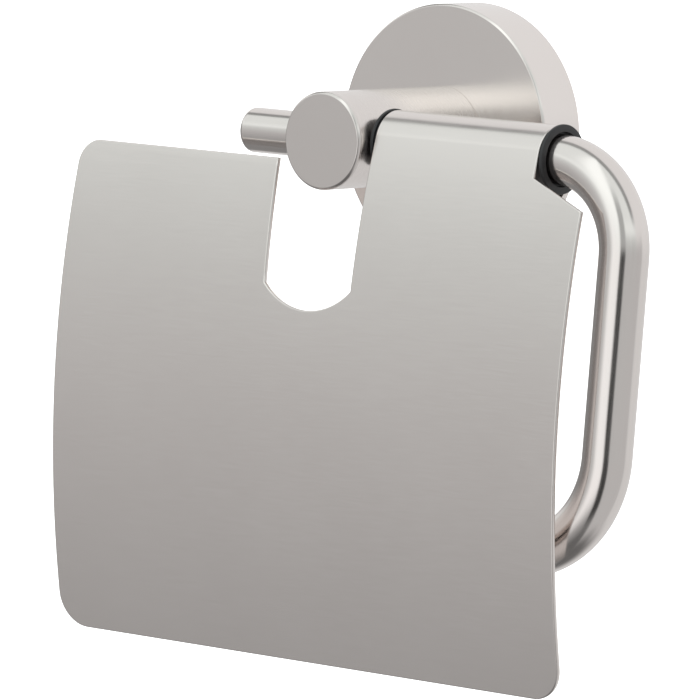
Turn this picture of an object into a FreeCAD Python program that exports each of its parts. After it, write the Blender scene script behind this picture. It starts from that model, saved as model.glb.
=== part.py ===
import FreeCAD, Part
import math
import os

# Toilet paper holder with a hinged cover, in millimetres.
# The wall is the plane y = 0 and the holder stands out of it towards -Y. +Z is up and +X is to the
# right for someone facing the wall. The origin is the centre of the rosette on the wall.

# ---- Driving dimensions ---------------------------------------------------------------------

ROSETTE_DIAMETER = 54.0
ROSETTE_DEPTH = 11.8          # wall to the rosette's front face
ROSETTE_SKIRT_WALL = 2.5
ROSETTE_FACE_WALL = 2.0
ROSETTE_CHAMFER = 0.4

BRACKET_THICKNESS = 5.0
BRACKET_GAP = 0.2             # bracket rim to the inside of the rosette, on the radius
BRACKET_GROOVE_GAP = 0.2      # groove's sides to the set screw in it
BRACKET_RIM_WALL = 1.9        # groove's floor to the seat of a wall screw
BRACKET_EYE_GAP = 1.0         # bracket's middle hole round the post screw's head, on the radius
WALL_SLOT_WIDTH = 4.8
WALL_SLOT_LENGTH = 8.0
WALL_SLOT_SINK = 1.6          # depth of the seat for the wall screw's head
WALL_SCREW_HEAD_WIDTH = 8.6

POST_DIAMETER = 20.0
POST_REACH = 50.2             # wall to the front face of the post's cap
POST_CHAMFER = 0.45
CAP_THICKNESS = 0.8
CAP_SPIGOT_DIAMETER = 12.0
CAP_SPIGOT_LENGTH = 2.6
CAP_HOLE_SPARE = 0.3          # hole deeper than the spigot

POST_SCREW_DIAMETER = 6.0
POST_SCREW_GRIP = 12.0        # length in the post's thread
POST_SCREW_HEAD_DIAMETER = 10.5
POST_SCREW_HEAD_HEIGHT = 3.0
POST_SCREW_HEX = 4.0
POST_SCREW_HEX_DEPTH = 1.8
POST_SCREW_HOLE_GAP = 0.2     # rosette's hole round the post screw, on the radius
WASHER_THICKNESS = 1.2
WASHER_DIAMETER = 10.8
WASHER_SPLIT = 0.8
WASHER_GAP = 0.15             # washer round the post screw, on the radius

ROSETTE_SET_SCREW_DIAMETER = 3.0
ROSETTE_SET_SCREW_LENGTH = 4.0
ROSETTE_SET_SCREW_HEX = 1.5
ROSETTE_SET_SCREW_RECESS = 0.2    # below the rosette's surface
BAR_SET_SCREW_DIAMETER = 4.0
BAR_SET_SCREW_RECESS = 0.35       # below the post's surface
BAR_SET_SCREW_HEX = 2.0
SET_SCREW_HEX_DEPTH = 1.8

BAR_DIAMETER = 10.1
BAR_STEP = 0.4                # how much thinner, on the radius, the bar's end in and left of the post is
BAR_SETBACK = 9.9             # cap's front face to the axis of the bar's top run
BAR_SHOULDER_DEPTH = 4.0      # post's right side to the step where the bar gets thinner
BAR_END_REACH = 27.1          # post's axis to the bar's left end
BAR_END_ROUND = 1.2
BAR_RIGHT_REACH = 71.9        # post's axis to the axis of the right leg
BAR_DROP = 78.7               # top run to bottom run, along the leg
BAR_TOP_BEND = 18.2
BAR_BOTTOM_BEND = 21.0
BAR_ARM_REACH = 59.4          # post's axis to the free end of the bottom run

COVER_WIDTH = 134.0
COVER_THICKNESS = 1.0
COVER_BOW_RADIUS = 228.5      # outer face of the bowed front
COVER_START_ANGLE = 15.6      # degrees above the bar's front where the bow leaves the knuckle
COVER_SHOULDER_ANGLE = 14.0   # degrees on the bow: top edge of the shoulders
COVER_END_ANGLE = -11.9       # degrees on the bow: bottom edge
COVER_SLACK_ANGLE = 1.7       # degrees the cover can swing inwards before it meets the bottom run
COVER_SLOT_GAP = 1.4          # slot's sides to the post
COVER_SLOT_FLARE = 1.4        # the slot's left side leans out by this much at the top
COVER_SLOT_CORNER_Z = -29.5
COVER_SLOT_DEPTH_Z = -34.3
COVER_CORNER_TOP_LEFT = 5.0
COVER_CORNER_BOTTOM = 7.0
COVER_CUT_TOP_Z = -3.4        # sloping cut at the top right corner: where it starts
COVER_CUT_BOTTOM_Z = -9.0     # and where it meets the right edge
KNUCKLE_WRAP = 220.0          # degrees from the bar's front, over the top and down the back
KNUCKLE_TAIL = 6.0            # straight end of the rolled sheet

BUSHING_WALL = 0.7
BUSHING_LENGTH = 9.0
BUSHING_FLANGE_RISE = 0.2     # flange outside the knuckle, on the radius
BUSHING_FLANGE_GAP = 0.3      # left flange to the post
BUSHING_LIP = 0.35            # narrow step between the flange and the knuckle: its width
BUSHING_LIP_RISE = 0.6        # and its height above the sleeve

SCREW_CLEARANCE = 0.05        # threads drawn as plain cylinders, on the radius
FIT_CLEARANCE = 0.05          # bar in the post and cap in the post, on the radius
HINGE_CLEARANCE = 0.05        # bar in the bushings, on the radius
BEND_CLEARANCE = 0.45         # right flange round the start of the bar's bend, on the radius
PIERCE = 1.0                  # how far cutting tools run past a face
SAME_PLACE = 1e-4             # two points closer than this are the same

# ---- Sizes that follow from them --------------------------------------------------------------

ROSETTE_RADIUS = ROSETTE_DIAMETER / 2
ROSETTE_BORE_RADIUS = ROSETTE_RADIUS - ROSETTE_SKIRT_WALL
ROSETTE_CEILING = ROSETTE_DEPTH - ROSETTE_FACE_WALL
BRACKET_RADIUS = ROSETTE_BORE_RADIUS - BRACKET_GAP
POST_RADIUS = POST_DIAMETER / 2
POST_FRONT = POST_REACH - CAP_THICKNESS
BAR_OUT = POST_REACH - BAR_SETBACK
BAR_RADIUS = BAR_DIAMETER / 2
BAR_END_RADIUS = BAR_RADIUS - BAR_STEP
BAR_SHOULDER = POST_RADIUS - BAR_SHOULDER_DEPTH
BAR_SET_SCREW_LENGTH = POST_RADIUS - BAR_END_RADIUS - BAR_SET_SCREW_RECESS
KNUCKLE_INNER_RADIUS = BAR_RADIUS + HINGE_CLEARANCE + BUSHING_WALL
KNUCKLE_OUTER_RADIUS = KNUCKLE_INNER_RADIUS + COVER_THICKNESS
KNUCKLE_RIGHT_REACH = BAR_RIGHT_REACH - BAR_TOP_BEND
SLOT_HALF = POST_RADIUS + COVER_SLOT_GAP
BUSHING_FLANGE_RADIUS = KNUCKLE_OUTER_RADIUS + BUSHING_FLANGE_RISE
BUSHING_FLANGE_THICKNESS = COVER_SLOT_GAP - BUSHING_FLANGE_GAP
GROOVE_FLOOR_RADIUS = ROSETTE_RADIUS - ROSETTE_SET_SCREW_RECESS - ROSETTE_SET_SCREW_LENGTH
GROOVE_WIDTH = ROSETTE_SET_SCREW_DIAMETER + 2 * BRACKET_GROOVE_GAP
GROOVE_OUT = BRACKET_THICKNESS / 2
BRACKET_EYE_RADIUS = POST_SCREW_HEAD_DIAMETER / 2 + BRACKET_EYE_GAP
SEAT_LENGTH = WALL_SLOT_LENGTH + WALL_SCREW_HEAD_WIDTH - WALL_SLOT_WIDTH
WALL_SLOT_REACH = GROOVE_FLOOR_RADIUS - BRACKET_RIM_WALL - SEAT_LENGTH / 2

RIGHT = FreeCAD.Vector(1, 0, 0)
OUT = FreeCAD.Vector(0, -1, 0)
UP = FreeCAD.Vector(0, 0, 1)


# ---- Helpers ------------------------------------------------------------------------------------

def point(x, out, z):
    """A point given by its distance out from the wall."""
    return FreeCAD.Vector(x, -out, z)


def rod(radius, length, start, direction):
    return Part.makeCylinder(radius, length, start, direction)


def hexagon_prism(across_flats, length, start, direction):
    corner_radius = across_flats / math.sqrt(3)
    side = FreeCAD.Rotation(UP, direction)
    corners = []
    for step in range(7):
        turn = math.radians(60 * step)
        flat_point = FreeCAD.Vector(corner_radius * math.cos(turn), corner_radius * math.sin(turn), 0)
        corners.append(start + side.multVec(flat_point))
    face = Part.Face(Part.makePolygon(corners))
    return face.extrude(FreeCAD.Vector(direction) * length)


def slot_prism(width, length, x, out_start, depth):
    """A horizontal slot through the bracket, round at both ends."""
    radius = width / 2
    run = length / 2 - radius
    low_left = point(x - run, out_start, -radius)
    low_right = point(x + run, out_start, -radius)
    far_right = point(x + run + radius, out_start, 0)
    high_right = point(x + run, out_start, radius)
    high_left = point(x - run, out_start, radius)
    far_left = point(x - run - radius, out_start, 0)
    edges = [
        Part.LineSegment(low_left, low_right).toShape(),
        Part.Arc(low_right, far_right, high_right).toShape(),
        Part.LineSegment(high_right, high_left).toShape(),
        Part.Arc(high_left, far_left, low_left).toShape(),
    ]
    return Part.Face(Part.Wire(edges)).extrude(OUT * depth)


def rim_edges(shape, centre):
    """The circular edges whose centre is the given point."""
    found = []
    for edge in shape.Edges:
        if isinstance(edge.Curve, Part.Circle) and (edge.Curve.Center - centre).Length < SAME_PLACE:
            found.append(edge)
    return found


# ---- Wall side ----------------------------------------------------------------------------------

def make_rosette():
    body = rod(ROSETTE_RADIUS, ROSETTE_DEPTH, point(0, 0, 0), OUT)
    body = body.makeChamfer(ROSETTE_CHAMFER, rim_edges(body, point(0, ROSETTE_DEPTH, 0)))
    hollow = rod(ROSETTE_BORE_RADIUS, ROSETTE_CEILING + PIERCE, point(0, -PIERCE, 0), OUT)
    screw_hole = rod(POST_SCREW_DIAMETER / 2 + POST_SCREW_HOLE_GAP, ROSETTE_DEPTH + PIERCE,
                     point(0, 0, 0), OUT)
    set_hole = rod(ROSETTE_SET_SCREW_DIAMETER / 2 + SCREW_CLEARANCE, ROSETTE_SKIRT_WALL + 2 * PIERCE,
                   point(0, GROOVE_OUT, -ROSETTE_BORE_RADIUS + PIERCE), -UP)
    return body.cut(hollow).cut(screw_hole).cut(set_hole)


def make_wall_bracket():
    disc = rod(BRACKET_RADIUS, BRACKET_THICKNESS, point(0, 0, 0), OUT)
    groove_start = point(0, GROOVE_OUT - GROOVE_WIDTH / 2, 0)
    ring = rod(BRACKET_RADIUS + PIERCE, GROOVE_WIDTH, groove_start, OUT)
    core = rod(GROOVE_FLOOR_RADIUS, GROOVE_WIDTH, groove_start, OUT)
    eye = rod(BRACKET_EYE_RADIUS, BRACKET_THICKNESS + 2 * PIERCE, point(0, -PIERCE, 0), OUT)
    bracket = disc.cut(ring.cut(core)).cut(eye)
    for side in (-1, 1):
        x = side * WALL_SLOT_REACH
        bracket = bracket.cut(slot_prism(WALL_SLOT_WIDTH, WALL_SLOT_LENGTH, x, -PIERCE,
                                         BRACKET_THICKNESS + 2 * PIERCE))
        bracket = bracket.cut(slot_prism(WALL_SCREW_HEAD_WIDTH, SEAT_LENGTH, x,
                                         BRACKET_THICKNESS - WALL_SLOT_SINK, WALL_SLOT_SINK + PIERCE))
    return bracket


def make_set_screw(diameter, length, hexagon, tip, direction):
    """A socket set screw whose cone tip is at tip and whose socket opens along direction."""
    radius = diameter / 2
    cone_height = radius / 2
    cone = Part.makeCone(radius - cone_height, radius, cone_height, tip, direction)
    shank = rod(radius, length - cone_height, tip + direction * cone_height, direction)
    socket_floor = tip + direction * (length - SET_SCREW_HEX_DEPTH)
    socket = hexagon_prism(hexagon, SET_SCREW_HEX_DEPTH + PIERCE, socket_floor, direction)
    return cone.fuse(shank).removeSplitter().cut(socket)


def make_rosette_set_screw():
    return make_set_screw(ROSETTE_SET_SCREW_DIAMETER, ROSETTE_SET_SCREW_LENGTH, ROSETTE_SET_SCREW_HEX,
                          point(0, GROOVE_OUT, -GROOVE_FLOOR_RADIUS), -UP)


# ---- Post ---------------------------------------------------------------------------------------

def make_post():
    post = rod(POST_RADIUS, POST_FRONT - ROSETTE_DEPTH, point(0, ROSETTE_DEPTH, 0), OUT)
    screw_hole = rod(POST_SCREW_DIAMETER / 2 + SCREW_CLEARANCE, POST_SCREW_GRIP + PIERCE,
                     point(0, ROSETTE_DEPTH, 0), OUT)
    cap_hole_depth = CAP_SPIGOT_LENGTH + CAP_HOLE_SPARE
    cap_hole = rod(CAP_SPIGOT_DIAMETER / 2 + FIT_CLEARANCE, cap_hole_depth,
                   point(0, POST_FRONT - cap_hole_depth, 0), OUT)
    thin_hole = rod(BAR_END_RADIUS + FIT_CLEARANCE, POST_DIAMETER + 2 * PIERCE,
                    point(-POST_RADIUS - PIERCE, BAR_OUT, 0), RIGHT)
    wide_hole = rod(BAR_RADIUS + FIT_CLEARANCE, POST_RADIUS + PIERCE - BAR_SHOULDER,
                    point(BAR_SHOULDER, BAR_OUT, 0), RIGHT)
    set_hole = rod(BAR_SET_SCREW_DIAMETER / 2 + SCREW_CLEARANCE, POST_RADIUS + PIERCE,
                   point(0, BAR_OUT, 0), -UP)
    for tool in (screw_hole, cap_hole, thin_hole, wide_hole, set_hole):
        post = post.cut(tool)
    return post


def make_post_end_cap():
    disc = rod(POST_RADIUS, CAP_THICKNESS, point(0, POST_FRONT, 0), OUT)
    disc = disc.makeChamfer(POST_CHAMFER, rim_edges(disc, point(0, POST_REACH, 0)))
    spigot = rod(CAP_SPIGOT_DIAMETER / 2, CAP_SPIGOT_LENGTH,
                 point(0, POST_FRONT - CAP_SPIGOT_LENGTH, 0), OUT)
    return disc.fuse(spigot).removeSplitter()


def make_post_screw():
    """Low-head socket screw, from inside the rosette into the post."""
    head_out = ROSETTE_CEILING - WASHER_THICKNESS
    head = rod(POST_SCREW_HEAD_DIAMETER / 2, POST_SCREW_HEAD_HEIGHT,
               point(0, head_out - POST_SCREW_HEAD_HEIGHT, 0), OUT)
    shank = rod(POST_SCREW_DIAMETER / 2, ROSETTE_DEPTH + POST_SCREW_GRIP - head_out,
                point(0, head_out, 0), OUT)
    socket_floor = point(0, head_out - POST_SCREW_HEAD_HEIGHT + POST_SCREW_HEX_DEPTH, 0)
    socket = hexagon_prism(POST_SCREW_HEX, POST_SCREW_HEX_DEPTH + PIERCE, socket_floor, -OUT)
    return head.fuse(shank).removeSplitter().cut(socket)


def make_lock_washer():
    """Split spring washer under the post screw's head."""
    start = point(0, ROSETTE_CEILING - WASHER_THICKNESS, 0)
    ring = rod(WASHER_DIAMETER / 2, WASHER_THICKNESS, start, OUT)
    ring = ring.cut(rod(POST_SCREW_DIAMETER / 2 + WASHER_GAP, WASHER_THICKNESS, start, OUT))
    split = Part.makeBox(WASHER_SPLIT, 2 * WASHER_THICKNESS, WASHER_DIAMETER,
                         point(-WASHER_SPLIT / 2, ROSETTE_CEILING + WASHER_THICKNESS / 2, 0))
    return ring.cut(split)


# ---- Bar ----------------------------------------------------------------------------------------

def bar_path():
    """Centre line of the thick part of the bar: top run, leg and bottom run in one upright plane."""
    x_leg = BAR_RIGHT_REACH
    start = point(BAR_SHOULDER, BAR_OUT, 0)
    top_end = point(x_leg - BAR_TOP_BEND, BAR_OUT, 0)
    leg_top = point(x_leg, BAR_OUT, -BAR_TOP_BEND)
    leg_bottom = point(x_leg, BAR_OUT, BAR_BOTTOM_BEND - BAR_DROP)
    arm_start = point(x_leg - BAR_BOTTOM_BEND, BAR_OUT, -BAR_DROP)
    arm_end = point(2 * BAR_END_ROUND - BAR_ARM_REACH, BAR_OUT, -BAR_DROP)
    half = math.sqrt(0.5)
    top_middle = point(x_leg - BAR_TOP_BEND * (1 - half), BAR_OUT, -BAR_TOP_BEND * (1 - half))
    low_middle = point(x_leg - BAR_BOTTOM_BEND * (1 - half), BAR_OUT,
                       BAR_BOTTOM_BEND * (1 - half) - BAR_DROP)
    return [
        Part.LineSegment(start, top_end).toShape(),
        Part.Arc(top_end, top_middle, leg_top).toShape(),
        Part.LineSegment(leg_top, leg_bottom).toShape(),
        Part.Arc(leg_bottom, low_middle, arm_start).toShape(),
        Part.LineSegment(arm_start, arm_end).toShape(),
    ]


def round_end(radius, tip, inward):
    """A short end piece with a rounded rim, from the tip inwards."""
    piece = rod(radius, 2 * BAR_END_ROUND, tip, inward)
    return piece.makeFillet(BAR_END_ROUND, rim_edges(piece, tip))


def bar_tilt():
    """Degrees that the loop leans out, so that the bottom run stays just behind the cover."""
    gap = BAR_DROP * math.radians(COVER_SLACK_ANGLE)
    to_bow = COVER_BOW_RADIUS - KNUCKLE_OUTER_RADIUS
    run_reach = COVER_BOW_RADIUS - COVER_THICKNESS - gap - BAR_RADIUS
    cosine = (to_bow ** 2 + BAR_DROP ** 2 - run_reach ** 2) / (2 * to_bow * BAR_DROP)
    return COVER_START_ANGLE + math.degrees(math.acos(cosine)) - 90


def make_holder_bar():
    path = Part.Wire(bar_path())
    section = Part.Wire([Part.makeCircle(BAR_RADIUS, point(BAR_SHOULDER, BAR_OUT, 0), RIGHT)])
    thick = path.makePipeShell([section], True, True)
    arm_tip = point(-BAR_ARM_REACH, BAR_OUT, -BAR_DROP)
    thick = thick.fuse(round_end(BAR_RADIUS, arm_tip, RIGHT))
    thick.rotate(point(0, BAR_OUT, 0), RIGHT, -bar_tilt())
    end_tip = point(-BAR_END_REACH, BAR_OUT, 0)
    thin_start = end_tip + RIGHT * (2 * BAR_END_ROUND)
    thin = rod(BAR_END_RADIUS, BAR_SHOULDER + BAR_END_REACH - 2 * BAR_END_ROUND, thin_start, RIGHT)
    return thick.fuse(thin).fuse(round_end(BAR_END_RADIUS, end_tip, RIGHT)).removeSplitter()


def make_bar_set_screw():
    return make_set_screw(BAR_SET_SCREW_DIAMETER, BAR_SET_SCREW_LENGTH, BAR_SET_SCREW_HEX,
                          point(0, BAR_OUT, -BAR_END_RADIUS), -UP)


# ---- Cover --------------------------------------------------------------------------------------

def polar(centre_out, centre_z, radius, degrees):
    """A point on a circle in the side view: 0 degrees is straight out, 90 is up."""
    turn = math.radians(degrees)
    return point(0, centre_out + radius * math.cos(turn), centre_z + radius * math.sin(turn))


def arc_between(centre_out, centre_z, radius, first, last):
    ends = [polar(centre_out, centre_z, radius, turn) for turn in (first, (first + last) / 2, last)]
    return Part.Arc(*ends).toShape()


def bow_centre():
    """Centre of the cover's bow, placed so that the bow leaves the knuckle without a kink."""
    reach = COVER_BOW_RADIUS - KNUCKLE_OUTER_RADIUS
    turn = math.radians(COVER_START_ANGLE)
    return BAR_OUT - reach * math.cos(turn), -reach * math.sin(turn)


def bow_band(first, last):
    """Side view of the bowed sheet between two angles on the bow."""
    out, z = bow_centre()
    inner_radius = COVER_BOW_RADIUS - COVER_THICKNESS
    outer = arc_between(out, z, COVER_BOW_RADIUS, first, last)
    inner = arc_between(out, z, inner_radius, last, first)
    first_end = Part.LineSegment(polar(out, z, inner_radius, first),
                                 polar(out, z, COVER_BOW_RADIUS, first)).toShape()
    last_end = Part.LineSegment(polar(out, z, COVER_BOW_RADIUS, last),
                                polar(out, z, inner_radius, last)).toShape()
    return Part.Face(Part.Wire([first_end, outer, last_end, inner]))


def knuckle_band():
    """Side view of the rolled part: round the bushings, then a straight tail."""
    first = COVER_START_ANGLE
    turn = math.radians(KNUCKLE_WRAP)
    tail = point(0, -KNUCKLE_TAIL * math.sin(turn), KNUCKLE_TAIL * math.cos(turn))
    outer_start = polar(BAR_OUT, 0, KNUCKLE_OUTER_RADIUS, first)
    outer_end = polar(BAR_OUT, 0, KNUCKLE_OUTER_RADIUS, KNUCKLE_WRAP)
    inner_start = polar(BAR_OUT, 0, KNUCKLE_INNER_RADIUS, first)
    inner_end = polar(BAR_OUT, 0, KNUCKLE_INNER_RADIUS, KNUCKLE_WRAP)
    edges = [
        Part.LineSegment(inner_start, outer_start).toShape(),
        arc_between(BAR_OUT, 0, KNUCKLE_OUTER_RADIUS, first, KNUCKLE_WRAP),
        Part.LineSegment(outer_end, outer_end + tail).toShape(),
        Part.LineSegment(outer_end + tail, inner_end + tail).toShape(),
        Part.LineSegment(inner_end + tail, inner_end).toShape(),
        arc_between(BAR_OUT, 0, KNUCKLE_INNER_RADIUS, KNUCKLE_WRAP, first),
    ]
    return Part.Face(Part.Wire(edges))


def corner_arc(corner, before, after, radius):
    """Start, middle and end of a rounded corner between two straight edges."""
    to_before = (before - corner).normalize()
    to_after = (after - corner).normalize()
    half_angle = to_before.getAngle(to_after) / 2
    back = radius / math.tan(half_angle)
    start = corner + to_before * back
    end = corner + to_after * back
    middle_direction = (to_before + to_after).normalize()
    middle = corner + middle_direction * (radius / math.sin(half_angle) - radius)
    return start, middle, end


def cover_outline():
    """Front view of the cover, with its slot, as a face in the wall's plane."""
    out, z = bow_centre()
    half = COVER_WIDTH / 2
    shoulder_z = polar(out, z, COVER_BOW_RADIUS, COVER_SHOULDER_ANGLE).z
    bottom_z = polar(out, z, COVER_BOW_RADIUS, COVER_END_ANGLE).z
    over_knuckle = KNUCKLE_OUTER_RADIUS + PIERCE
    top_left = FreeCAD.Vector(-half, 0, shoulder_z)
    bottom_left = FreeCAD.Vector(-half, 0, bottom_z)
    bottom_right = FreeCAD.Vector(half, 0, bottom_z)
    slot_top_left = FreeCAD.Vector(-SLOT_HALF - COVER_SLOT_FLARE, 0, shoulder_z)
    slot_low_left = FreeCAD.Vector(-SLOT_HALF, 0, COVER_SLOT_CORNER_Z)
    slot_bottom = FreeCAD.Vector(0, 0, COVER_SLOT_DEPTH_Z)
    slot_low_right = FreeCAD.Vector(SLOT_HALF, 0, COVER_SLOT_CORNER_Z)
    knuckle_left = FreeCAD.Vector(SLOT_HALF, 0, over_knuckle)
    knuckle_right = FreeCAD.Vector(KNUCKLE_RIGHT_REACH, 0, over_knuckle)
    cut_top = FreeCAD.Vector(KNUCKLE_RIGHT_REACH, 0, COVER_CUT_TOP_Z)
    cut_bottom = FreeCAD.Vector(half, 0, COVER_CUT_BOTTOM_Z)
    low_right = corner_arc(bottom_right, cut_bottom, bottom_left, COVER_CORNER_BOTTOM)
    low_left = corner_arc(bottom_left, bottom_right, top_left, COVER_CORNER_BOTTOM)
    high_left = corner_arc(top_left, bottom_left, slot_top_left, COVER_CORNER_TOP_LEFT)
    edges = [
        Part.LineSegment(cut_bottom, low_right[0]).toShape(),
        Part.Arc(*low_right).toShape(),
        Part.LineSegment(low_right[2], low_left[0]).toShape(),
        Part.Arc(*low_left).toShape(),
        Part.LineSegment(low_left[2], high_left[0]).toShape(),
        Part.Arc(*high_left).toShape(),
        Part.LineSegment(high_left[2], slot_top_left).toShape(),
        Part.LineSegment(slot_top_left, slot_low_left).toShape(),
        Part.Arc(slot_low_left, slot_bottom, slot_low_right).toShape(),
        Part.LineSegment(slot_low_right, knuckle_left).toShape(),
        Part.LineSegment(knuckle_left, knuckle_right).toShape(),
        Part.LineSegment(knuckle_right, cut_top).toShape(),
        Part.LineSegment(cut_top, cut_bottom).toShape(),
    ]
    return Part.Face(Part.Wire(edges))


def make_cover():
    front = bow_band(COVER_START_ANGLE, COVER_END_ANGLE)
    front.translate(FreeCAD.Vector(-COVER_WIDTH / 2, 0, 0))
    front = front.extrude(RIGHT * COVER_WIDTH)
    punch = cover_outline()
    punch = punch.extrude(OUT * (POST_REACH + COVER_BOW_RADIUS))
    front = front.common(punch)
    knuckle = knuckle_band()
    knuckle.translate(FreeCAD.Vector(SLOT_HALF, 0, 0))
    knuckle = knuckle.extrude(RIGHT * (KNUCKLE_RIGHT_REACH - SLOT_HALF))
    return front.fuse(knuckle).removeSplitter()


# ---- Bushings -----------------------------------------------------------------------------------

def make_bushing(knuckle_end, outward, flange_bore_radius):
    """A flanged bushing: the sleeve runs into the knuckle and the flange lies on the knuckle's end."""
    bore_radius = BAR_RADIUS + HINGE_CLEARANCE
    face = point(knuckle_end, BAR_OUT, 0)
    sleeve = rod(KNUCKLE_INNER_RADIUS, BUSHING_LENGTH + BUSHING_LIP, face + outward * BUSHING_LIP, -outward)
    lip = rod(KNUCKLE_INNER_RADIUS + BUSHING_LIP_RISE, BUSHING_LIP, face, outward)
    flange = rod(BUSHING_FLANGE_RADIUS, BUSHING_FLANGE_THICKNESS - BUSHING_LIP,
                 face + outward * BUSHING_LIP, outward)
    bushing = sleeve.fuse(lip).fuse(flange).removeSplitter()
    bore_length = BUSHING_LENGTH + BUSHING_FLANGE_THICKNESS + 2 * PIERCE
    bushing = bushing.cut(rod(bore_radius, bore_length, face - outward * (BUSHING_LENGTH + PIERCE), outward))
    return bushing.cut(rod(flange_bore_radius, BUSHING_FLANGE_THICKNESS + PIERCE, face, outward))


def make_left_bushing():
    return make_bushing(SLOT_HALF, -RIGHT, BAR_RADIUS + HINGE_CLEARANCE)


def make_right_bushing():
    return make_bushing(KNUCKLE_RIGHT_REACH, RIGHT, BAR_RADIUS + BEND_CLEARANCE)


# ---- Build --------------------------------------------------------------------------------------

PIECES = {
    "rosette": make_rosette,
    "wall_bracket": make_wall_bracket,
    "rosette_set_screw": make_rosette_set_screw,
    "post": make_post,
    "post_end_cap": make_post_end_cap,
    "post_screw": make_post_screw,
    "lock_washer": make_lock_washer,
    "holder_bar": make_holder_bar,
    "bar_set_screw": make_bar_set_screw,
    "cover": make_cover,
    "left_bushing": make_left_bushing,
    "right_bushing": make_right_bushing,
}

os.makedirs("parts", exist_ok=True)
for name, make in PIECES.items():
    shape = make()
    solids = shape.Solids
    print(name, "solids", len(solids), "valid", shape.isValid(), "volume", round(shape.Volume, 1))
    solids[0].exportStep(f"parts/{name}.step")
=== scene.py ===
import math

import bmesh
import bpy
from mathutils import Matrix, Vector


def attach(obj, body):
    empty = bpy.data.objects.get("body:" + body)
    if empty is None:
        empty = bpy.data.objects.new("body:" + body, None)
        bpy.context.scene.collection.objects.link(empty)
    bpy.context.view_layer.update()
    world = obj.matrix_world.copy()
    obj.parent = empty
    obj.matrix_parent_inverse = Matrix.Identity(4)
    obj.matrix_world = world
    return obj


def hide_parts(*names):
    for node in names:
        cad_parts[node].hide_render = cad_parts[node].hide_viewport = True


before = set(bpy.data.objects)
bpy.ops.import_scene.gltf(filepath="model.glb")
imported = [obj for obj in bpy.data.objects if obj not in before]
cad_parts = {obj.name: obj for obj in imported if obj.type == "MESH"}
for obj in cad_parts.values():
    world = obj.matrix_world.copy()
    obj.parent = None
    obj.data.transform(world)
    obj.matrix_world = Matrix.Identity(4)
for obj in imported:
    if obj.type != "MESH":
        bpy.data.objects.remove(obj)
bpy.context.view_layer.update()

# The looks of a wall-mounted toilet paper holder with a hinged cover.
# Sizes are in millimetres, as in the CAD model; points are turned into metres by at().
# The wall is the plane y = 0, +Z is up and +X is to the right for someone facing the wall.

MM = 0.001

# ---- Sizes ------------------------------------------------------------------------------------

ROSETTE_RADIUS = 27.0
ROSETTE_DEPTH = 11.8          # wall to the rosette's front face
ROSETTE_BORE_RADIUS = 24.5    # the hollow that takes the wall bracket
ROSETTE_CEILING = 9.8         # depth of that hollow
ROSETTE_CHAMFER = 0.4
ROSETTE_RIM_EDGE = 0.2        # rounding on both sides of the chamfer
ROSETTE_BACK_EDGE = 0.3
ROSETTE_INNER_CORNER = 0.8
ROSETTE_HOLE_RADIUS = 3.2     # hole for the post screw

POST_RADIUS = 10.0
POST_FRONT = 49.4             # wall to the seam behind the cap
POST_REACH = 50.2             # wall to the cap's front face
POST_CHAMFER = 0.45
POST_BACK_EDGE = 0.15
CAP_FRONT_EDGE = 0.3
CAP_SIDE_EDGE = 0.25
CAP_SEAM = 0.08               # rounded edges on both sides of the seam behind the cap
CAP_SPIGOT_RADIUS = 6.0
CAP_SPIGOT_START = 46.8
POST_SCREW_HOLE_RADIUS = 3.05
POST_SCREW_HOLE_DEPTH = 13.0
CAP_HOLE_RADIUS = 6.05
CAP_HOLE_START = 46.5

BAR_RADIUS = 5.05
BAR_END_RADIUS = 4.65         # in the post and left of it
BAR_OUT = 40.3                # wall to the axis of the top run
BAR_SHOULDER = 6.0            # post's axis to the step where the bar gets thinner
BAR_END_REACH = 27.1          # post's axis to the bar's left end
BAR_END_ROUND = 1.2
BAR_RIGHT_REACH = 71.9        # post's axis to the axis of the right leg
BAR_DROP = 78.7               # top run to bottom run, along the leg
BAR_TOP_BEND = 18.2
BAR_BOTTOM_BEND = 21.0
BAR_ARM_REACH = 59.4          # post's axis to the free end of the bottom run
BAR_TILT = 4.2                # degrees that the loop leans out
BAR_HOLE_GAP = 0.05           # bar in the post, on the radius
BAR_SET_HOLE_RADIUS = 2.05

COVER_HALF_WIDTH = 67.0
COVER_THICKNESS = 1.0
COVER_EDGE = 0.32             # rounding of the sheet's edges
BOW_RADIUS = 228.5            # outer face of the bowed front
BOW_START = 15.6              # degrees up from straight out where the bow leaves the knuckle
BOW_SHOULDER = 14.0           # degrees on the bow: top edge of the left shoulder
BOW_END = -11.9               # degrees on the bow: bottom edge
SLOT_HALF = 11.4              # post's axis to the slot's sides
SLOT_FLARE = 1.4              # the left side leans out by this much at the top
SLOT_CORNER_Z = -29.5
SLOT_DEPTH_Z = -34.3
CORNER_TOP = 5.0
CORNER_BOTTOM = 7.0
CUT_TOP_Z = -3.4              # sloping cut at the top right corner: where it starts
CUT_BOTTOM_Z = -9.0           # and where it meets the right edge
KNUCKLE_INNER_RADIUS = 5.8
KNUCKLE_OUTER_RADIUS = 6.8
KNUCKLE_RIGHT = 53.7          # post's axis to the knuckle's right end
KNUCKLE_WRAP = 220.0          # degrees from straight out, over the top and down the back
KNUCKLE_TAIL = 6.0            # straight end of the rolled sheet

BUSHING_BORE_RADIUS = 5.1
BUSHING_RIGHT_BORE_RADIUS = 5.5 # in the right flange, where the bar starts to bend
BUSHING_LENGTH = 9.0
BUSHING_FLANGE_RADIUS = 7.0
BUSHING_FLANGE = 1.1          # knuckle's end to the flange's outer face
BUSHING_LIP = 0.35            # narrow step between the flange and the knuckle
BUSHING_LIP_RADIUS = 6.4
BUSHING_BACK_EDGE = 0.12
BUSHING_FRONT_EDGE = 0.2
BUSHING_BORE_EDGE = 0.15
BUSHING_STEP = -0.001         # where the right flange's wider bore ends, from the knuckle's end

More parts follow.
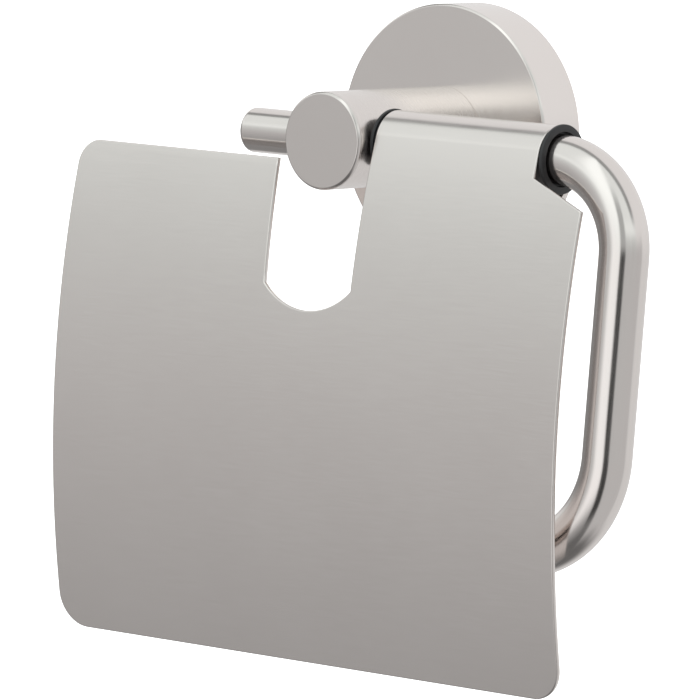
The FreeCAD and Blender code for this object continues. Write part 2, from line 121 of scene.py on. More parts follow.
ROUND_STEPS = 192             # steps round a turned piece
BAR_STEPS = 96                # steps round the bar
BAR_END_STEPS = 8
DRILL_STEPS = 96
BEND_STEPS = 48               # steps along each bend of the bar
BOW_STEPS = 40
KNUCKLE_STEPS = 72
CORNER_STEPS = 16             # steps round a corner of the sheet's outline
PROFILE_STEPS = 4             # steps round an edge of a turned piece
EDGE_STEPS = 3                # steps round an edge of the sheet
SHARP_ANGLE = math.radians(40)
NORMAL_WEIGHT = 90            # how far large faces outweigh small ones in the normals
MERGE_DISTANCE = 1e-7         # metres
SLICE_TOLERANCE = 1e-5        # millimetres
QUARTER_TURN = math.pi / 2

RIGHT = Vector((1, 0, 0))
OUT = Vector((0, -1, 0))
UP = Vector((0, 0, 1))


def at(x, out, z):
    """A point in metres from millimetres, given by its distance out from the wall."""
    return Vector((x, -out, z)) * MM


# ---- Mesh helpers --------------------------------------------------------------------------------

def smooth(mesh_data):
    """Smooth shading, with sharp edges kept sharp."""
    for polygon in mesh_data.polygons:
        polygon.use_smooth = True
    mesh_data.set_sharp_from_angle(angle=SHARP_ANGLE)


def finished(mesh, name):
    """Mesh data from a bmesh, which is freed."""
    mesh_data = bpy.data.meshes.new(name)
    mesh.to_mesh(mesh_data)
    mesh.free()
    return mesh_data


def new_object(name, data):
    item = bpy.data.objects.new(name, data)
    bpy.context.scene.collection.objects.link(item)
    return item


def new_piece(name, mesh_data, node, body, material):
    """Makes the object, hides the CAD node it stands in for, hangs it under its body and gives it its
    material.
    """
    piece = new_object(name, mesh_data)
    mesh_data.materials.append(material)
    smooth(mesh_data)
    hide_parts(node)
    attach(piece, body)
    return piece


def even_normals(piece):
    """Keeps flat faces flat next to their rounded edges."""
    modifier = piece.modifiers.new("even_normals", "WEIGHTED_NORMAL")
    modifier.mode = "FACE_AREA"
    modifier.weight = NORMAL_WEIGHT
    modifier.keep_sharp = True


def cut_hole(piece, radius, start, direction, length):
    """Drills a round hole into a piece."""
    drill = bmesh.new()
    turn = UP.rotation_difference(direction).to_matrix().to_4x4()
    place = Matrix.Translation(start + direction * length * MM / 2) @ turn
    bmesh.ops.create_cone(drill, cap_ends=True, segments=DRILL_STEPS, radius1=radius * MM,
                          radius2=radius * MM, depth=length * MM, matrix=place)
    tool = new_object("drill", finished(drill, "drill"))
    modifier = piece.modifiers.new("hole", "BOOLEAN")
    modifier.operation = "DIFFERENCE"
    modifier.solver = "EXACT"
    modifier.object = tool
    bpy.context.view_layer.update()
    drilled = piece.evaluated_get(bpy.context.evaluated_depsgraph_get())
    mesh_data = bpy.data.meshes.new_from_object(drilled)
    piece.modifiers.clear()
    piece.data = mesh_data
    smooth(mesh_data)
    bpy.data.objects.remove(tool)


def corner_arc(before, here, after, radius, steps):
    """Points of the arc that rounds the corner between two straight lines."""
    here = Vector(here)
    to_before = (Vector(before) - here).normalized()
    to_after = (Vector(after) - here).normalized()
    half = to_before.angle(to_after) / 2
    back = radius / math.tan(half)
    centre = here + (to_before + to_after).normalized() * (radius / math.sin(half))
    first = here + to_before * back - centre
    last = here + to_after * back - centre
    spokes = [first.slerp(last, step / steps).normalized() for step in range(steps + 1)]
    return [centre + spoke * radius for spoke in spokes]


def rounded(profile, corners):
    """A closed profile of (radius, along) points with the numbered corners rounded by a radius."""
    result = []
    for index, here in enumerate(profile):
        if index in corners:
            after = profile[(index + 1) % len(profile)]
            result += corner_arc(profile[index - 1], here, after, corners[index], PROFILE_STEPS)
        else:
            result.append(here)
    return result


def turned(profile, start, direction):
    """A solid of revolution: profile is a closed line of (radius, along), start and direction its axis."""
    mesh = bmesh.new()
    side = direction.orthogonal().normalized()
    other = direction.cross(side)
    rings = []
    for step in range(ROUND_STEPS):
        turn = math.tau * step / ROUND_STEPS
        spoke = side * math.cos(turn) + other * math.sin(turn)
        places = [start + (direction * along + spoke * radius) * MM for radius, along in profile]
        rings.append([mesh.verts.new(place) for place in places])
    for step in range(ROUND_STEPS):
        ring = rings[step]
        next_ring = rings[(step + 1) % ROUND_STEPS]
        for index in range(len(profile)):
            after = (index + 1) % len(profile)
            mesh.faces.new((ring[index], ring[after], next_ring[after], next_ring[index]))
    bmesh.ops.remove_doubles(mesh, verts=mesh.verts, dist=MERGE_DISTANCE)
    bmesh.ops.recalc_face_normals(mesh, faces=mesh.faces)
    return finished(mesh, "turned")


# ---- Materials -----------------------------------------------------------------------------------

NOISE_LOW = 0.3               # noise stays mostly between these two
NOISE_HIGH = 0.7

METAL_GRAIN_DETAIL = 4.0
METAL_CLOUD_SCALE = 45.0
METAL_CLOUD_DETAIL = 3.0
GRAIN_SHARE = 0.6             # of the colour's variation; the clouds make up the rest
GRAIN_ROUGHNESS = 0.035
CLOUD_ROUGHNESS = 0.012
EDGE_START = 0.52             # pointiness where an edge starts to look polished
EDGE_FULL = 0.60
EDGE_POLISH = 0.06
METAL_BUMP_DEPTH = 0.00002    # metres

PLASTIC_GRAIN_SCALE = 2500.0
PLASTIC_GRAIN_DETAIL = 3.0
PLASTIC_CLOUD_SCALE = 150.0
PLASTIC_CLOUD_DETAIL = 2.0
PLASTIC_ROUGHNESS_SPREAD = 0.06
PLASTIC_BUMP = 0.25
PLASTIC_BUMP_DEPTH = 0.00003  # metres

# Light and dark colour of each material.
STEEL = ((0.815, 0.768, 0.742), (0.785, 0.737, 0.710))
# Painted light: the same steel as the other pieces, painted lighter so the rosette looks more brightly lit.
STEEL_PAINTED_LIGHTER = ((0.86, 0.81, 0.783), (0.83, 0.779, 0.752))
SCREW_ZINC = ((0.62, 0.61, 0.60), (0.50, 0.49, 0.48))
PLATE_ZINC = ((0.60, 0.61, 0.62), (0.47, 0.48, 0.50))
NYLON = ((0.034, 0.034, 0.036), (0.020, 0.020, 0.022))

# Scale of the grain along each direction: a small one draws it out into scratches.
ROUND_THE_POST = (120, 9000, 120)
ACROSS_THE_SHEET = (160, 4200, 4200)
ALONG_THE_BAR = (5200, 60, 1)
EVEN_FINE = (5000, 5000, 5000)
EVEN_MEDIUM = (3000, 3000, 3000)
EVEN_COARSE = (500, 500, 500)


class NodeTree:
    """A node tree with short ways to add and link nodes."""

    def __init__(self, tree):
        self.nodes = tree.nodes
        self.links = tree.links

    def link(self, source, target):
        self.links.new(source, target)

    def math(self, operation, first, second):
        node = self.nodes.new("ShaderNodeMath")
        node.operation = operation
        for index, value in enumerate((first, second)):
            if isinstance(value, (int, float)):
                node.inputs[index].default_value = value
            else:
                self.link(value, node.inputs[index])
        return node.outputs["Value"]

    def map_range(self, value, start, end, below, above, interpolation="LINEAR"):
        """Goes from below to above as value goes from start to end."""
        node = self.nodes.new("ShaderNodeMapRange")
        node.interpolation_type = interpolation
        node.inputs["From Min"].default_value = start
        node.inputs["From Max"].default_value = end
        node.inputs["To Min"].default_value = below
        node.inputs["To Max"].default_value = above
        self.link(value, node.inputs["Value"])
        return node.outputs["Result"]


class Shader(NodeTree):
    """A material and its nodes."""

    def __init__(self, name):
        self.material = bpy.data.materials.new(name)
        self.material.use_nodes = True
        super().__init__(self.material.node_tree)
        self.surface = self.nodes["Principled BSDF"]

    def coordinates(self, output):
        return self.nodes.new("ShaderNodeTexCoord").outputs[output]

    def scaled(self, vector, scale):
        mapping = self.nodes.new("ShaderNodeMapping")
        mapping.inputs["Scale"].default_value = scale
        self.link(vector, mapping.inputs["Vector"])
        return mapping.outputs["Vector"]

    def noise(self, vector, scale, detail):
        texture = self.nodes.new("ShaderNodeTexNoise")
        texture.inputs["Scale"].default_value = scale
        texture.inputs["Detail"].default_value = detail
        self.link(vector, texture.inputs["Vector"])
        return texture.outputs["Fac"]

    def spread(self, noise, low, high):
        """Maps noise to low..high."""
        return self.map_range(noise, NOISE_LOW, NOISE_HIGH, low, high)

    def blend(self, share, first, second):
        """Mixes two colours by a share between 0 and 1."""
        node = self.nodes.new("ShaderNodeMix")
        node.data_type = "RGBA"
        self.link(share, node.inputs["Factor"])
        node.inputs["A"].default_value = (*first, 1)
        node.inputs["B"].default_value = (*second, 1)
        return node.outputs["Result"]

    def bump(self, height, strength, distance):
        node = self.nodes.new("ShaderNodeBump")
        node.inputs["Strength"].default_value = strength
        node.inputs["Distance"].default_value = distance
        self.link(height, node.inputs["Height"])
        self.link(node.outputs["Normal"], self.surface.inputs["Normal"])


def brushed_metal(name, colours, roughness, grain_scale, bump, space="Object"):
    """Brushed metal: fine scratches along one direction, faint cloudy patches, polished edges."""
    light, dark = colours
    shader = Shader(name)
    grain = shader.noise(shader.scaled(shader.coordinates(space), grain_scale), 1.0, METAL_GRAIN_DETAIL)
    cloud = shader.noise(shader.coordinates("Object"), METAL_CLOUD_SCALE, METAL_CLOUD_DETAIL)
    grain_part = shader.math("MULTIPLY", grain, GRAIN_SHARE)
    cloud_part = shader.math("MULTIPLY", cloud, 1 - GRAIN_SHARE)
    share = shader.spread(shader.math("ADD", grain_part, cloud_part), 0, 1)
    shader.link(shader.blend(share, dark, light), shader.surface.inputs["Base Color"])
    fine = shader.spread(grain, roughness - GRAIN_ROUGHNESS, roughness + GRAIN_ROUGHNESS)
    wide = shader.spread(cloud, -CLOUD_ROUGHNESS, CLOUD_ROUGHNESS)
    pointiness = shader.nodes.new("ShaderNodeNewGeometry").outputs["Pointiness"]
    polish = shader.map_range(pointiness, EDGE_START, EDGE_FULL, 0.0, EDGE_POLISH)
    total = shader.math("SUBTRACT", shader.math("ADD", fine, wide), polish)
    shader.link(total, shader.surface.inputs["Roughness"])
    shader.surface.inputs["Metallic"].default_value = 1.0
    shader.bump(grain, bump, METAL_BUMP_DEPTH)
    return shader.material


def moulded_plastic(name, colours, roughness):
    """Moulded plastic: a fine even grain and faint cloudy patches."""
    light, dark = colours
    shader = Shader(name)
    grain = shader.noise(shader.coordinates("Object"), PLASTIC_GRAIN_SCALE, PLASTIC_GRAIN_DETAIL)
    cloud = shader.noise(shader.coordinates("Object"), PLASTIC_CLOUD_SCALE, PLASTIC_CLOUD_DETAIL)
    share = shader.spread(cloud, 0, 1)
    shader.link(shader.blend(share, dark, light), shader.surface.inputs["Base Color"])
    rough = shader.spread(cloud, roughness - PLASTIC_ROUGHNESS_SPREAD, roughness + PLASTIC_ROUGHNESS_SPREAD)
    shader.link(rough, shader.surface.inputs["Roughness"])
    shader.bump(grain, PLASTIC_BUMP, PLASTIC_BUMP_DEPTH)
    return shader.material


turned_steel = brushed_metal("turned_steel", STEEL, roughness=0.25, grain_scale=ROUND_THE_POST, bump=0.015)
# The rosette gets the steel with painted light: a lighter copy of the same steel.
rosette_steel = brushed_metal("rosette_steel", STEEL_PAINTED_LIGHTER, roughness=0.18, grain_scale=EVEN_FINE, bump=0.02)
face_steel = brushed_metal("face_steel", STEEL, roughness=0.17, grain_scale=EVEN_FINE, bump=0.02)
bar_steel = brushed_metal("bar_steel", STEEL, roughness=0.15, grain_scale=ALONG_THE_BAR, bump=0.06,
                          space="UV")
cover_steel = brushed_metal("cover_steel", STEEL, roughness=0.22, grain_scale=ACROSS_THE_SHEET, bump=0.02)
screw_steel = brushed_metal("screw_steel", SCREW_ZINC, roughness=0.30, grain_scale=EVEN_MEDIUM, bump=0.12)
bracket_zinc = brushed_metal("bracket_zinc", PLATE_ZINC, roughness=0.42, grain_scale=EVEN_COARSE, bump=0.3)
black_nylon = moulded_plastic("black_nylon", NYLON, roughness=0.42)


# ---- Pieces --------------------------------------------------------------------------------------

def make_rosette():
    """The round plate on the wall, hollow from behind."""
    profile = rounded([
        (ROSETTE_HOLE_RADIUS, ROSETTE_DEPTH),
        (ROSETTE_RADIUS - ROSETTE_CHAMFER, ROSETTE_DEPTH),
        (ROSETTE_RADIUS, ROSETTE_DEPTH - ROSETTE_CHAMFER),
        (ROSETTE_RADIUS, 0),
        (ROSETTE_BORE_RADIUS, 0),
        (ROSETTE_BORE_RADIUS, ROSETTE_CEILING),
        (ROSETTE_HOLE_RADIUS, ROSETTE_CEILING),
    ], {1: ROSETTE_RIM_EDGE, 2: ROSETTE_RIM_EDGE, 3: ROSETTE_BACK_EDGE, 4: ROSETTE_BACK_EDGE,
        5: ROSETTE_INNER_CORNER})
    piece = new_piece("rosette_cover", turned(profile, at(0, 0, 0), OUT), "rosette", "holder",
                      rosette_steel)
    even_normals(piece)


def make_post():
    """The round post with its holes for the cap, the post screw, the bar and the bar's set screw."""
    profile = rounded([
        (POST_SCREW_HOLE_RADIUS, ROSETTE_DEPTH),
        (POST_RADIUS, ROSETTE_DEPTH),
        (POST_RADIUS, POST_FRONT),
        (CAP_HOLE_RADIUS, POST_FRONT),
        (CAP_HOLE_RADIUS, CAP_HOLE_START),
        (0, CAP_HOLE_START),
        (0, ROSETTE_DEPTH + POST_SCREW_HOLE_DEPTH),
        (POST_SCREW_HOLE_RADIUS, ROSETTE_DEPTH + POST_SCREW_HOLE_DEPTH),
    ], {1: POST_BACK_EDGE, 2: CAP_SEAM})
    piece = new_piece("round_post", turned(profile, at(0, 0, 0), OUT), "post", "holder",
                      turned_steel)
    cut_hole(piece, BAR_END_RADIUS + BAR_HOLE_GAP, at(-2 * POST_RADIUS, BAR_OUT, 0), RIGHT, 4 * POST_RADIUS)
    cut_hole(piece, BAR_RADIUS + BAR_HOLE_GAP, at(BAR_SHOULDER, BAR_OUT, 0), RIGHT, 2 * POST_RADIUS)
    cut_hole(piece, BAR_SET_HOLE_RADIUS, at(0, BAR_OUT, 0), -UP, 2 * POST_RADIUS)
    even_normals(piece)


def make_end_cap():
    """The thin cap on the post's front, with the spigot that holds it."""
    profile = rounded([
        (0, POST_REACH),
        (POST_RADIUS - POST_CHAMFER, POST_REACH),
        (POST_RADIUS, POST_REACH - POST_CHAMFER),
        (POST_RADIUS, POST_FRONT),
        (CAP_SPIGOT_RADIUS, POST_FRONT),
        (CAP_SPIGOT_RADIUS, CAP_SPIGOT_START),
        (0, CAP_SPIGOT_START),
    ], {1: CAP_FRONT_EDGE, 2: CAP_SIDE_EDGE, 3: CAP_SEAM})
    piece = new_piece("post_cap", turned(profile, at(0, 0, 0), OUT), "post_end_cap", "holder",
                      face_steel)
    even_normals(piece)


def bar_end(radius):
    """Rounded end of the bar, from the tip inwards, as (distance from the tip, radius)."""
    places = []
    for step in range(BAR_END_STEPS + 1):
        turn = QUARTER_TURN * step / BAR_END_STEPS
        inward = BAR_END_ROUND * (1 - math.cos(turn))
        places.append((inward, radius - BAR_END_ROUND * (1 - math.sin(turn))))
    return places


def bar_bend(centre_x, centre_z, bend, first):
    """A quarter turn of the bar's centre line, from the heading first on."""
    places = []
    for step in range(BEND_STEPS + 1):
        turn = first + QUARTER_TURN * step / BEND_STEPS
        x = centre_x + bend * math.sin(turn)
        z = centre_z + bend * math.cos(turn)
        places.append((x, z, turn, BAR_RADIUS))
    return places


def bar_centre_line():
    """Centre line of the bar before it leans, as (x, z, heading below +X, radius)."""
    line = [(inward - BAR_END_REACH, 0, 0, radius) for inward, radius in bar_end(BAR_END_RADIUS)]
    line.append((BAR_SHOULDER, 0, 0, BAR_END_RADIUS))
    line.append((BAR_SHOULDER, 0, 0, BAR_RADIUS))
    line += bar_bend(BAR_RIGHT_REACH - BAR_TOP_BEND, -BAR_TOP_BEND, BAR_TOP_BEND, 0)
    line += bar_bend(BAR_RIGHT_REACH - BAR_BOTTOM_BEND, BAR_BOTTOM_BEND - BAR_DROP, BAR_BOTTOM_BEND,
                     QUARTER_TURN)
    for inward, radius in reversed(bar_end(BAR_RADIUS)):
        line.append((inward - BAR_ARM_REACH, -BAR_DROP, 2 * QUARTER_TURN, radius))
    return line


def bar_ring(x, z, turn, radius):
    """Points round the bar at one place of its centre line, leaning with the loop."""
    lean = Matrix.Rotation(-math.radians(BAR_TILT), 3, "X")
    outward = Vector((math.sin(turn), 0, math.cos(turn)))
    places = []
    for step in range(BAR_STEPS):
        angle = math.tau * step / BAR_STEPS
        spoke = outward * radius * math.cos(angle) + OUT * radius * math.sin(angle)
        place = lean @ (Vector((x, 0, z)) + spoke)
        places.append(at(place.x, BAR_OUT - place.y, place.z))
    return places


def make_bar():
    """The bent bar as a swept tube, with its length and turn kept as a UV map for the grain."""
    mesh = bmesh.new()
    uv_layer = mesh.loops.layers.uv.new("grain")
    line = bar_centre_line()
    rings = []
    travel = 0
    for (x, z, turn, radius), (last_x, last_z, _, _) in zip(line, line[:1] + line):
        travel += math.hypot(x - last_x, z - last_z)
        rings.append(([mesh.verts.new(place) for place in bar_ring(x, z, turn, radius)], travel))
    for (ring, low), (next_ring, high) in zip(rings, rings[1:]):
        for index in range(BAR_STEPS):
            after = (index + 1) % BAR_STEPS
            face = mesh.faces.new((ring[index], ring[after], next_ring[after], next_ring[index]))
            steps_round = (index, index + 1, index + 1, index)
            lengths = (low, low, high, high)
            for loop, step, length in zip(face.loops, steps_round, lengths):
                loop[uv_layer].uv = (step / BAR_STEPS * math.tau * BAR_RADIUS * MM, length * MM)
    mesh.faces.new(rings[0][0])
    mesh.faces.new(rings[-1][0])
    bmesh.ops.recalc_face_normals(mesh, faces=mesh.faces)
    piece = new_piece("bent_bar", finished(mesh, "bar"), "holder_bar", "holder", bar_steel)
    even_normals(piece)


def bow_centre():
    """Centre of the bow, as (out, z); the bow runs into the knuckle without a kink."""
    reach = BOW_RADIUS - KNUCKLE_OUTER_RADIUS
    turn = math.radians(BOW_START)
    return BAR_OUT - reach * math.cos(turn), -reach * math.sin(turn)


BOW_OUT, BOW_Z = bow_centre()


def bow_length(z):
    """Length along the bow's outer face, up from the bottom edge, to a height."""
    turn = math.asin((z - BOW_Z) / BOW_RADIUS)
    return BOW_RADIUS * (turn - math.radians(BOW_END))


def bow_height(degrees):
    """Height of the place on the bow that faces this many degrees up."""
    return BOW_Z + BOW_RADIUS * math.sin(math.radians(degrees))


BOW_TOP = bow_length(bow_height(BOW_START))
KNUCKLE_TURN = math.radians(KNUCKLE_WRAP - BOW_START)
KNUCKLE_END = BOW_TOP + KNUCKLE_OUTER_RADIUS * KNUCKLE_TURN
SHEET_END = KNUCKLE_END + KNUCKLE_TAIL


def sheet_place(x, length, depth):
    """Where a point of the flat sheet lies once it is bent; depth is measured from the outer face."""
    if length <= BOW_TOP:
        turn = math.radians(BOW_END) + length / BOW_RADIUS
        radius = BOW_RADIUS - depth
        return at(x, BOW_OUT + radius * math.cos(turn), BOW_Z + radius * math.sin(turn))
    rolled = min(length, KNUCKLE_END) - BOW_TOP
    turn = math.radians(BOW_START) + rolled / KNUCKLE_OUTER_RADIUS
    radius = KNUCKLE_OUTER_RADIUS - depth
    out = BAR_OUT + radius * math.cos(turn)
    z = radius * math.sin(turn)
    extra = max(length - KNUCKLE_END, 0)
    return at(x, out - extra * math.sin(turn), z + extra * math.cos(turn))


def sheet_outline():
    """Outline of the flat sheet as (x, length) points."""
    low = bow_height(BOW_END)
    shoulder = bow_height(BOW_SHOULDER)
    half = COVER_HALF_WIDTH
    front = [(half, CUT_BOTTOM_Z), (half, low), (-half, low), (-half, shoulder),
             (-SLOT_HALF - SLOT_FLARE, shoulder)]
    outline = [Vector(front[0])]
    for index, radius in enumerate((CORNER_BOTTOM, CORNER_BOTTOM, CORNER_TOP), start=1):
        outline += corner_arc(front[index - 1], front[index], front[index + 1], radius, CORNER_STEPS)
    outline.append(Vector(front[-1]))
    dip = SLOT_CORNER_Z - SLOT_DEPTH_Z
    radius = (SLOT_HALF ** 2 + dip ** 2) / (2 * dip)
    sweep = math.asin(SLOT_HALF / radius)
    for step in range(2 * CORNER_STEPS + 1):
        turn = sweep * (step / CORNER_STEPS - 1)
        outline.append(Vector((radius * math.sin(turn), SLOT_DEPTH_Z + radius * (1 - math.cos(turn)))))
    flat = [(place.x, max(bow_length(place.y), 0)) for place in outline]
    cut_top = bow_length(CUT_TOP_Z)
    flat += [(SLOT_HALF, SHEET_END), (KNUCKLE_RIGHT, SHEET_END), (KNUCKLE_RIGHT, cut_top)]
    return flat


def inset(outline, distance):
    """The outline moved inwards by a distance."""
    result = []
    for index, here in enumerate(outline):
        before = (here - outline[index - 1]).normalized()
        after = (outline[(index + 1) % len(outline)] - here).normalized()
        inward_before = Vector((before.y, -before.x))
        inward_after = Vector((after.y, -after.x))
        along_both = 1 + inward_before.dot(inward_after)
        result.append(here + (inward_before + inward_after) * distance / along_both)
    return result


def edge_layers():
    """Rounded edges of the sheet, front to back, as (inset, depth)."""
    layers = []
    for step in range(EDGE_STEPS + 1):
        turn = QUARTER_TURN * step / EDGE_STEPS
        layers.append((COVER_EDGE * (1 - math.sin(turn)), COVER_EDGE * (1 - math.cos(turn))))
    return layers + [(distance, COVER_THICKNESS - depth) for distance, depth in reversed(layers)]


def make_cover():
    """The flat sheet with rounded edges, sliced across and then bent."""
    mesh = bmesh.new()
    outline = [Vector(place) for place in sheet_outline()]
    rings = []
    for distance, depth in edge_layers():
        rings.append([mesh.verts.new((place.x, place.y, depth)) for place in inset(outline, distance)])
    mesh.faces.new(rings[0])
    mesh.faces.new(rings[-1])
    for ring, next_ring in zip(rings, rings[1:]):
        for index in range(len(ring)):
            mesh.faces.new((ring[index - 1], ring[index], next_ring[index], next_ring[index - 1]))
    levels = [BOW_TOP * step / BOW_STEPS for step in range(1, BOW_STEPS)]
    rolled = KNUCKLE_END - BOW_TOP
    levels += [BOW_TOP + rolled * step / KNUCKLE_STEPS for step in range(KNUCKLE_STEPS + 1)]
    for level in levels:
        geometry = mesh.verts[:] + mesh.edges[:] + mesh.faces[:]
        bmesh.ops.bisect_plane(mesh, geom=geometry, plane_co=(0, level, 0), plane_no=(0, 1, 0),
                               dist=SLICE_TOLERANCE)
    for vertex in mesh.verts:
        vertex.co = sheet_place(*vertex.co)
    bmesh.ops.recalc_face_normals(mesh, faces=mesh.faces)
    piece = new_piece("bowed_cover", finished(mesh, "cover"), "cover", "lid", cover_steel)
    even_normals(piece)


def make_bushing(name, node, knuckle_end, outward, flange_bore):
    """A flanged sleeve, measured from the knuckle's end; the flange can have a wider bore."""
    profile = [
        (BUSHING_BORE_RADIUS, -BUSHING_LENGTH),
        (KNUCKLE_INNER_RADIUS, -BUSHING_LENGTH),
        (KNUCKLE_INNER_RADIUS, 0),
        (BUSHING_LIP_RADIUS, 0),
        (BUSHING_LIP_RADIUS, BUSHING_LIP),
        (BUSHING_FLANGE_RADIUS, BUSHING_LIP),
        (BUSHING_FLANGE_RADIUS, BUSHING_FLANGE),
        (flange_bore, BUSHING_FLANGE),
    ]
    if flange_bore > BUSHING_BORE_RADIUS:
        profile += [(flange_bore, BUSHING_STEP), (BUSHING_BORE_RADIUS, BUSHING_STEP)]
    profile = rounded(profile, {5: BUSHING_BACK_EDGE, 6: BUSHING_FRONT_EDGE, 7: BUSHING_BORE_EDGE})
    piece = new_piece(name, turned(profile, at(knuckle_end, BAR_OUT, 0), outward), node, "lid",
                      black_nylon)
    even_normals(piece)


CARRIED_OVER = {
    "wall_bracket": bracket_zinc,
    "rosette_set_screw": screw_steel,
    "post_screw": screw_steel,
    "lock_washer": screw_steel,
    "bar_set_screw": screw_steel,
}


def colour_carried_over():
    """Gives their materials to the pieces that are shown just as the CAD has them."""
    for node, material in CARRIED_OVER.items():
        node_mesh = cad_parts[node].data
        node_mesh.materials.clear()
        node_mesh.materials.append(material)


# ---- Studio --------------------------------------------------------------------------------------

FLOOR_DROP = 2.3              # metres below the middle of the rosette
FLOOR_SIZE = 120.0            # metres
FLOOR_COLOUR = (0.9, 0.9, 0.9, 1)
FLOOR_ROUGHNESS = 0.9
FLOOR_GLOW = 0.8
WHITE = (1, 1, 1, 1)
CEILING_TINT = (0.97, 1.02, 1.01, 1)

# Brightness of the studio. A rise is (elevation where it starts, where it ends, brightness above).
FRONT_LOW = 0.15
FRONT_RISES = ((-55, -28, 0.40), (-30, 2, 0.54), (-8, 34, 0.90))
FRONT_PANEL = 0.98
BACK_LOW = 0.16
BACK_RISES = ((-75, -40, 0.72), (-12, 14, 0.84))
GAP = 0.33
LEFT_STRIP = 0.26
RIGHT_STRIP = 0.56
BRIGHT_STRIP = 1.06
BRIGHT_STRIP_GAIN = 0.2       # how much brighter it is at its top
DARK_STRIP = 0.055
DARK_STRIP_TOP = 0.48         # in its upper part

# Where the parts of the studio lie. A band is (centre, half width, softness).
# Rises and falls are (start, end), in degrees of elevation.
PANEL_BAND = (24, 5, 4)
BEHIND_RISE = (-0.05, 0.25)   # measured by how far a direction points into the wall, from -1 to 1
GAP_BAND = (0.05, 0.12, 0.05)    # measured the same way
GAP_RISE = (20, 40)
LEFT_BAND = (-94, 30, 6)
LEFT_FALL = (2, 14)
RIGHT_BAND = (85, 42, 6)
RIGHT_RISE = (-75, -50)
RIGHT_FALL = (1, 20)
BRIGHT_BAND = (0, 22, 12)
BRIGHT_RISE = (-35, -8)
BRIGHT_GAIN_RISE = (0, 40)
DARK_BAND = (33, 11.5, 3)
DARK_RISE = (-50, -30)
DARK_LEVEL_RISE = (3, 10)
DARK_FALL = (30, 60)
CEILING_RISE = (-8, 20)

# The main view, in metres.
CAMERA_PLACE = Vector((0.90095, -1.10886, 0.10486))
CAMERA_TARGET = Vector((0.00505, -0.045, -0.04243))
CAMERA_ROLL = math.radians(1.928)
CAMERA_LENS = 353.92          # millimetres
SENSOR_WIDTH = 36             # millimetres


def make_floor():
    """A plain pale floor far below, which the metal doesn't reflect."""
    mesh = bmesh.new()
    bmesh.ops.create_grid(mesh, x_segments=1, y_segments=1, size=FLOOR_SIZE / 2,
                          matrix=Matrix.Translation((0, 0, -FLOOR_DROP)))
    floor = new_object("floor", finished(mesh, "floor"))
    shader = Shader("pale_floor")
    shader.surface.inputs["Base Color"].default_value = FLOOR_COLOUR
    shader.surface.inputs["Roughness"].default_value = FLOOR_ROUGHNESS
    shader.surface.inputs["Emission Color"].default_value = WHITE
    shader.surface.inputs["Emission Strength"].default_value = FLOOR_GLOW
    floor.data.materials.append(shader.material)
    floor.visible_glossy = False
    floor.visible_diffuse = False


class Studio(NodeTree):
    """The light round the object, by direction: azimuth 0 is straight in front, 90 to the right."""

    def __init__(self):
        world = bpy.data.worlds.new("studio")
        bpy.context.scene.world = world
        world.use_nodes = True
        super().__init__(world.node_tree)
        direction = self.nodes.new("ShaderNodeTexCoord").outputs["Generated"]
        parts = self.nodes.new("ShaderNodeSeparateXYZ")
        self.link(direction, parts.inputs[0])
        x, self.y, z = parts.outputs
        front = self.math("MULTIPLY", self.y, -1.0)
        self.azimuth = self.math("MULTIPLY", self.math("ARCTAN2", x, front), math.degrees(1))
        self.elevation = self.math("MULTIPLY", self.math("ARCSINE", z, 0), math.degrees(1))

    def rise(self, value, start, end, below=0.0, above=1.0):
        """Goes smoothly from below to above as value goes from start to end."""
        return self.map_range(value, start, end, below, above, "SMOOTHSTEP")

    def fall(self, value, start, end):
        """Goes smoothly from 1 to 0 as value goes from start to end."""
        return self.map_range(value, start, end, 1.0, 0.0, "SMOOTHSTEP")

    def band(self, value, centre, half_width, softness):
        """1 inside a band of directions and 0 outside, with soft edges."""
        low = centre - half_width
        high = centre + half_width
        return self.both(self.rise(value, low - softness, low + softness),
                         self.fall(value, high - softness, high + softness))

    def both(self, first, second):
        """The share that lies in two regions at once."""
        return self.math("MULTIPLY", first, second)

    def mix(self, share, first, second):
        """first where share is 0, second where it is 1."""
        rest = self.math("SUBTRACT", 1.0, share)
        return self.math("ADD", self.math("MULTIPLY", first, rest), self.math("MULTIPLY", second, share))


def front_light(studio):
    """In front: from a dark floor to a bright ceiling with a brighter panel in it."""
    light = FRONT_LOW
    for start, end, brightness in FRONT_RISES:
        light = studio.mix(studio.rise(studio.elevation, start, end), light, brightness)
    panel = studio.band(studio.elevation, *PANEL_BAND)
    return studio.mix(panel, light, FRONT_PANEL)


def back_light(studio):
    """Behind: an even white backdrop that reaches far down."""
    light = BACK_LOW
    for start, end, brightness in BACK_RISES:
        light = studio.mix(studio.rise(studio.elevation, start, end), light, brightness)
    return light


def add_gap(studio, light):
    """The dark gap between the ceiling light and the backdrop."""
    across = studio.band(studio.y, *GAP_BAND)
    return studio.mix(studio.both(across, studio.rise(studio.elevation, *GAP_RISE)), light, GAP)


def add_side_strips(studio, light):
    """Upright strips at the sides: dark on the left, even grey on the right."""
    up = studio.elevation
    left = studio.band(studio.azimuth, *LEFT_BAND)
    light = studio.mix(studio.both(left, studio.fall(up, *LEFT_FALL)), light, LEFT_STRIP)
    right = studio.band(studio.azimuth, *RIGHT_BAND)
    right = studio.both(right, studio.rise(up, *RIGHT_RISE))
    return studio.mix(studio.both(right, studio.fall(up, *RIGHT_FALL)), light, RIGHT_STRIP)


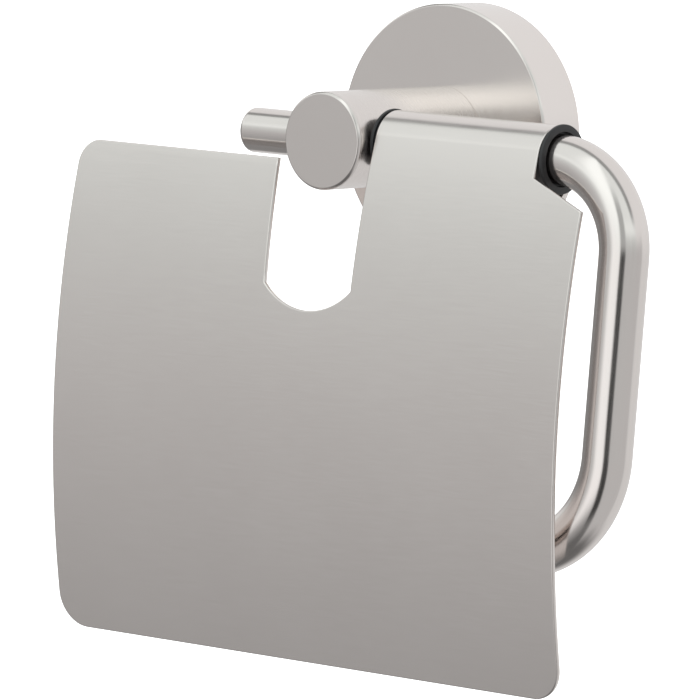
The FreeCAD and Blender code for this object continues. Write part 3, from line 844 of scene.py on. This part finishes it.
def add_front_strips(studio, light):
    """Upright strips in front: a bright one, and a dark one where the camera stands."""
    up = studio.elevation
    bright = studio.band(studio.azimuth, *BRIGHT_BAND)
    gain = studio.rise(up, *BRIGHT_GAIN_RISE, above=BRIGHT_STRIP_GAIN)
    level = studio.math("ADD", BRIGHT_STRIP, gain)
    light = studio.mix(studio.both(bright, studio.rise(up, *BRIGHT_RISE)), light, level)
    dark = studio.band(studio.azimuth, *DARK_BAND)
    dark = studio.both(dark, studio.rise(up, *DARK_RISE))
    level = studio.rise(up, *DARK_LEVEL_RISE, below=DARK_STRIP, above=DARK_STRIP_TOP)
    return studio.mix(studio.both(dark, studio.fall(up, *DARK_FALL)), light, level)


def make_light():
    """Fills the world with the studio; the camera itself sees plain white."""
    studio = Studio()
    behind = studio.rise(studio.y, *BEHIND_RISE)
    light = studio.mix(behind, front_light(studio), back_light(studio))
    light = add_gap(studio, light)
    light = add_side_strips(studio, light)
    light = add_front_strips(studio, light)
    seen = studio.nodes.new("ShaderNodeLightPath").outputs["Is Camera Ray"]
    light = studio.mix(seen, light, 1.0)
    ceiling = studio.both(studio.rise(studio.elevation, *CEILING_RISE), studio.math("SUBTRACT", 1.0, behind))
    tint = studio.nodes.new("ShaderNodeMix")
    tint.data_type = "RGBA"
    studio.link(studio.mix(seen, ceiling, 0.0), tint.inputs["Factor"])
    tint.inputs["A"].default_value = WHITE
    tint.inputs["B"].default_value = CEILING_TINT
    background = studio.nodes["Background"]
    studio.link(tint.outputs["Result"], background.inputs["Color"])
    studio.link(light, background.inputs["Strength"])


def make_camera():
    """The main view: from the right and a little above, with a long lens."""
    back = (CAMERA_PLACE - CAMERA_TARGET).normalized()
    level_right = UP.cross(back).normalized()
    level_up = back.cross(level_right)
    right = level_right * math.cos(CAMERA_ROLL) + level_up * math.sin(CAMERA_ROLL)
    up = level_up * math.cos(CAMERA_ROLL) - level_right * math.sin(CAMERA_ROLL)
    turn = Matrix((right, up, back)).transposed().to_4x4()
    lens = bpy.data.cameras.new("camera")
    lens.sensor_width = SENSOR_WIDTH
    lens.lens = CAMERA_LENS
    camera = new_object("camera", lens)
    camera.matrix_world = Matrix.Translation(CAMERA_PLACE) @ turn
    bpy.context.scene.camera = camera


# ---- The whole scene -------------------------------------------------------------------------------

make_rosette()
make_post()
make_end_cap()
make_bar()
make_cover()
make_bushing("left_flanged_bushing", "left_bushing", SLOT_HALF, -RIGHT, BUSHING_BORE_RADIUS)
make_bushing("right_flanged_bushing", "right_bushing", KNUCKLE_RIGHT, RIGHT, BUSHING_RIGHT_BORE_RADIUS)
colour_carried_over()
make_floor()
make_light()
make_camera()
bpy.context.scene.view_settings.view_transform = "Standard"

bpy.context.view_layer.update()
